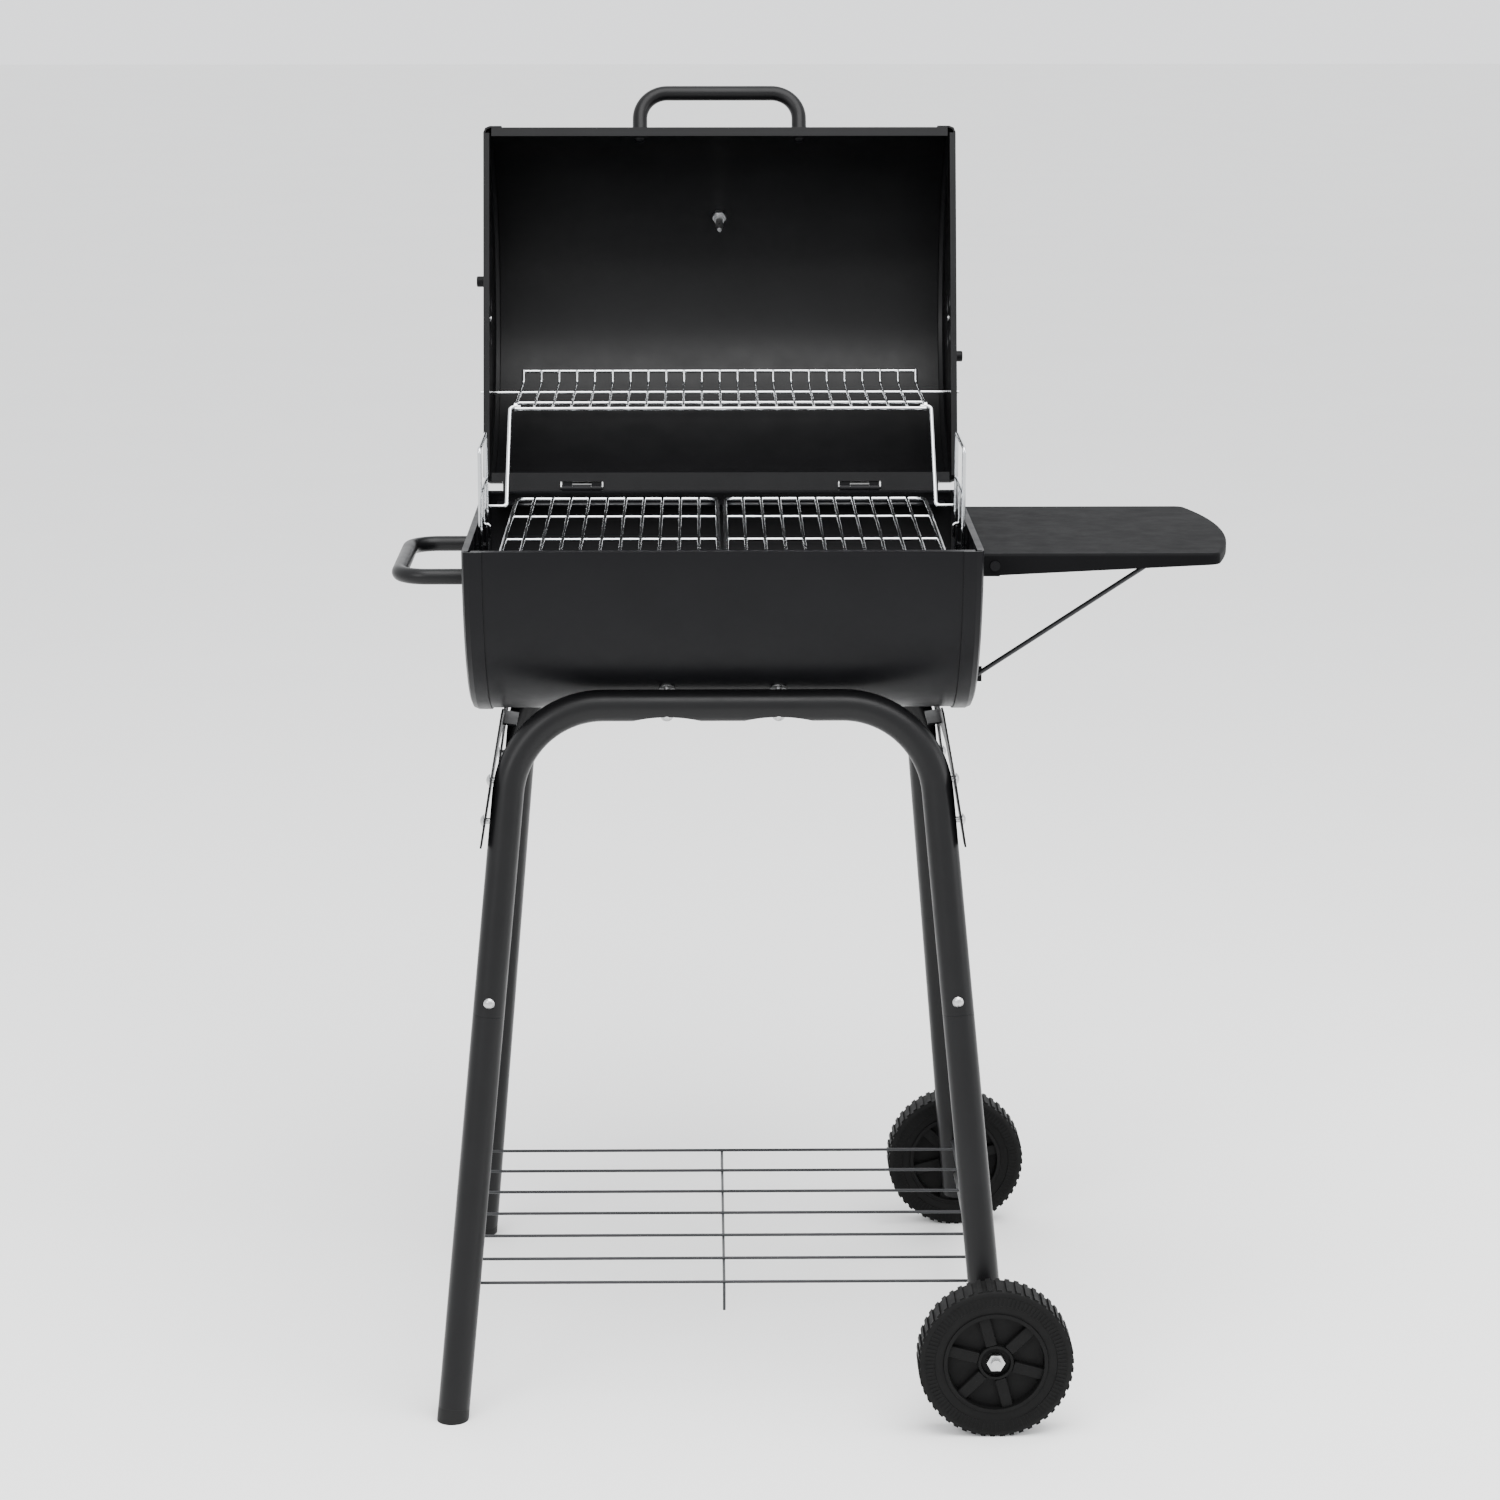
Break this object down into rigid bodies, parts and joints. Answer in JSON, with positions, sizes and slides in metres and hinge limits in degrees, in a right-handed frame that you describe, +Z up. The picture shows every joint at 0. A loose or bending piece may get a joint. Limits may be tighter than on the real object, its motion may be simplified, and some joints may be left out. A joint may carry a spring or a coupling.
{
  "type": "barrel charcoal grill",
  "caption": "Barrel charcoal grill on a tubular cart with a hinged lid, swinging warming rack, wire shelf, folding side table and two wheels.",
  "frame": {"origin": "on the floor, under the middle of the bounding box with the lid open", "axes": "+X along the barrel towards the side table, +Y from the front towards the lid hinges, +Z up"},
  "size_m": [0.849, 0.7795, 1.2931],
  "materials": {
    "black_enamel": "satin black heat-resistant powder coat on steel sheet",
    "black_tube": "satin black powder coat on bent steel tube",
    "black_wire": "black coated steel wire",
    "chrome_wire": "bright chrome-plated steel wire",
    "zinc_steel": "bright zinc-plated steel",
    "wheel_plastic": "moulded black polypropylene, finely textured",
    "foot_plastic": "moulded black plastic",
    "dial_face": "printed white dial",
    "dial_glass": "clear flat glass",
    "needle_paint": "red painted pointer"
  },
  "bodies": {
    "stand": {"firebox_shell": "black_enamel", "firebox_end_left": "black_enamel", "firebox_end_right": "black_enamel", "front_leg_arch": "black_tube", "rear_leg_arch": "black_tube", "front_left_leg": "black_tube", "front_right_leg": "black_tube", "rear_left_leg": "black_tube", "rear_right_leg": "black_tube", "front_left_foot": "foot_plastic", "rear_left_foot": "foot_plastic", "side_plate_left": "black_enamel", "side_plate_right": "black_enamel", "plate_bolts": "zinc_steel", "arch_bolts": "zinc_steel", "leg_joint_bolts": "zinc_steel", "wire_shelf": "black_wire", "wheel_axle": "zinc_steel", "axle_nuts": "zinc_steel", "side_handle": "black_tube", "side_handle_bolts": "zinc_steel", "hinge_base_left": "black_enamel", "hinge_base_right": "black_enamel", "hinge_pins": "zinc_steel", "table_hinge_ears": "black_enamel", "brace_bracket": "black_enamel", "pan_hanger_left": "black_enamel", "pan_hanger_right": "black_enamel", "rack_bracket_left": "black_enamel", "rack_bracket_right": "black_enamel", "grate_ledge_front": "black_enamel", "grate_ledge_rear": "black_enamel"},
    "lid": {"lid_shell": "black_enamel", "lid_end_left": "black_enamel", "lid_end_right": "black_enamel", "lid_handle": "black_tube", "lid_handle_bolts": "zinc_steel", "hinge_leaf_left": "black_enamel", "hinge_leaf_right": "black_enamel", "thermometer_case": "zinc_steel", "thermometer_dial": "dial_face", "thermometer_glass": "dial_glass", "thermometer_stem": "zinc_steel", "vent_pins": "zinc_steel"},
    "needle": {"thermometer_needle": "needle_paint"},
    "vent_left": {"vent_damper_left": "black_enamel"},
    "vent_right": {"vent_damper_right": "black_enamel"},
    "rack": {"warming_rack": "chrome_wire"},
    "rack_leg_l": {"rack_leg_left": "chrome_wire"},
    "rack_leg_r": {"rack_leg_right": "chrome_wire"},
    "grate_left": {"cooking_grate_left": "chrome_wire"},
    "grate_right": {"cooking_grate_right": "chrome_wire"},
    "pan": {"charcoal_pan": "black_enamel", "pan_handle_left": "chrome_wire", "pan_handle_right": "chrome_wire"},
    "wheel_front": {"front_wheel": "wheel_plastic"},
    "wheel_rear": {"rear_wheel": "wheel_plastic"},
    "table": {"side_table": "black_enamel", "brace_catch": "black_enamel"},
    "brace": {"table_brace": "black_wire"}
  },
  "joints": [
    {"name": "lid_hinge", "type": "hinge", "parent": "stand", "child": "lid", "pos_m": [-0.0905, 0.13675, 0.87275], "axis": [1, 0, 0], "range_deg": [0, 105]},
    {"name": "needle_turn", "type": "hinge", "parent": "lid", "child": "needle", "pos_m": [-0.0905, 0.36401, 1.14766], "axis": [0, 0.9063, 0.4226], "range_deg": [-250, 0]},
    {"name": "vent_left_turn", "type": "hinge", "parent": "lid", "child": "vent_left", "pos_m": [-0.3469, 0.29369, 1.03827], "axis": [1, 0, 0], "range_deg": [0, 45]},
    {"name": "vent_right_turn", "type": "hinge", "parent": "lid", "child": "vent_right", "pos_m": [0.1659, 0.29369, 1.03827], "axis": [1, 0, 0], "range_deg": [0, 45]},
    {"name": "rack_pivot", "type": "hinge", "parent": "lid", "child": "rack", "pos_m": [-0.0905, 0.23625, 0.964], "axis": [1, 0, 0], "range_deg": [-105, 0]},
    {"name": "rack_leg_left_pivot", "type": "hinge", "parent": "stand", "child": "rack_leg_l", "pos_m": [-0.3345, 0.02025, 0.87275], "axis": [1, 0, 0], "range_deg": [0, 105]},
    {"name": "rack_leg_right_pivot", "type": "hinge", "parent": "stand", "child": "rack_leg_r", "pos_m": [0.1535, 0.02025, 0.87275], "axis": [1, 0, 0], "range_deg": [0, 105]},
    {"name": "grate_left_lift", "type": "slide", "parent": "stand", "child": "grate_left", "axis": [0, 0, 1], "range_m": [0, 0.06]},
    {"name": "grate_right_lift", "type": "slide", "parent": "stand", "child": "grate_right", "axis": [0, 0, 1], "range_m": [0, 0.06]},
    {"name": "pan_lift", "type": "slide", "parent": "stand", "child": "pan", "axis": [0, 0, 1], "range_m": [0, 0.03]},
    {"name": "front_wheel_spin", "type": "hinge", "parent": "stand", "child": "wheel_front", "pos_m": [0.1785, -0.36875, 0.0775], "axis": [0, 1, 0], "continuous": true},
    {"name": "rear_wheel_spin", "type": "hinge", "parent": "stand", "child": "wheel_rear", "pos_m": [0.1785, 0.24125, 0.0775], "axis": [0, 1, 0], "continuous": true},
    {"name": "table_fold", "type": "hinge", "parent": "stand", "child": "table", "pos_m": [0.1795, -0.06375, 0.8495], "axis": [0, 1, 0], "range_deg": [0, 85]},
    {"name": "brace_swing", "type": "hinge", "parent": "stand", "child": "brace", "pos_m": [0.1725, -0.06375, 0.708], "axis": [0, 1, 0], "range_deg": [0, 122]}
  ],
  "couplings": [
    {"joint": "rack_pivot", "follows": "lid_hinge", "ratio": -1},
    {"joint": "rack_leg_left_pivot", "follows": "lid_hinge", "ratio": 1},
    {"joint": "rack_leg_right_pivot", "follows": "lid_hinge", "ratio": 1},
    {"joint": "brace_swing", "follows": "table_fold", "ratio": 1.43}
  ]
}
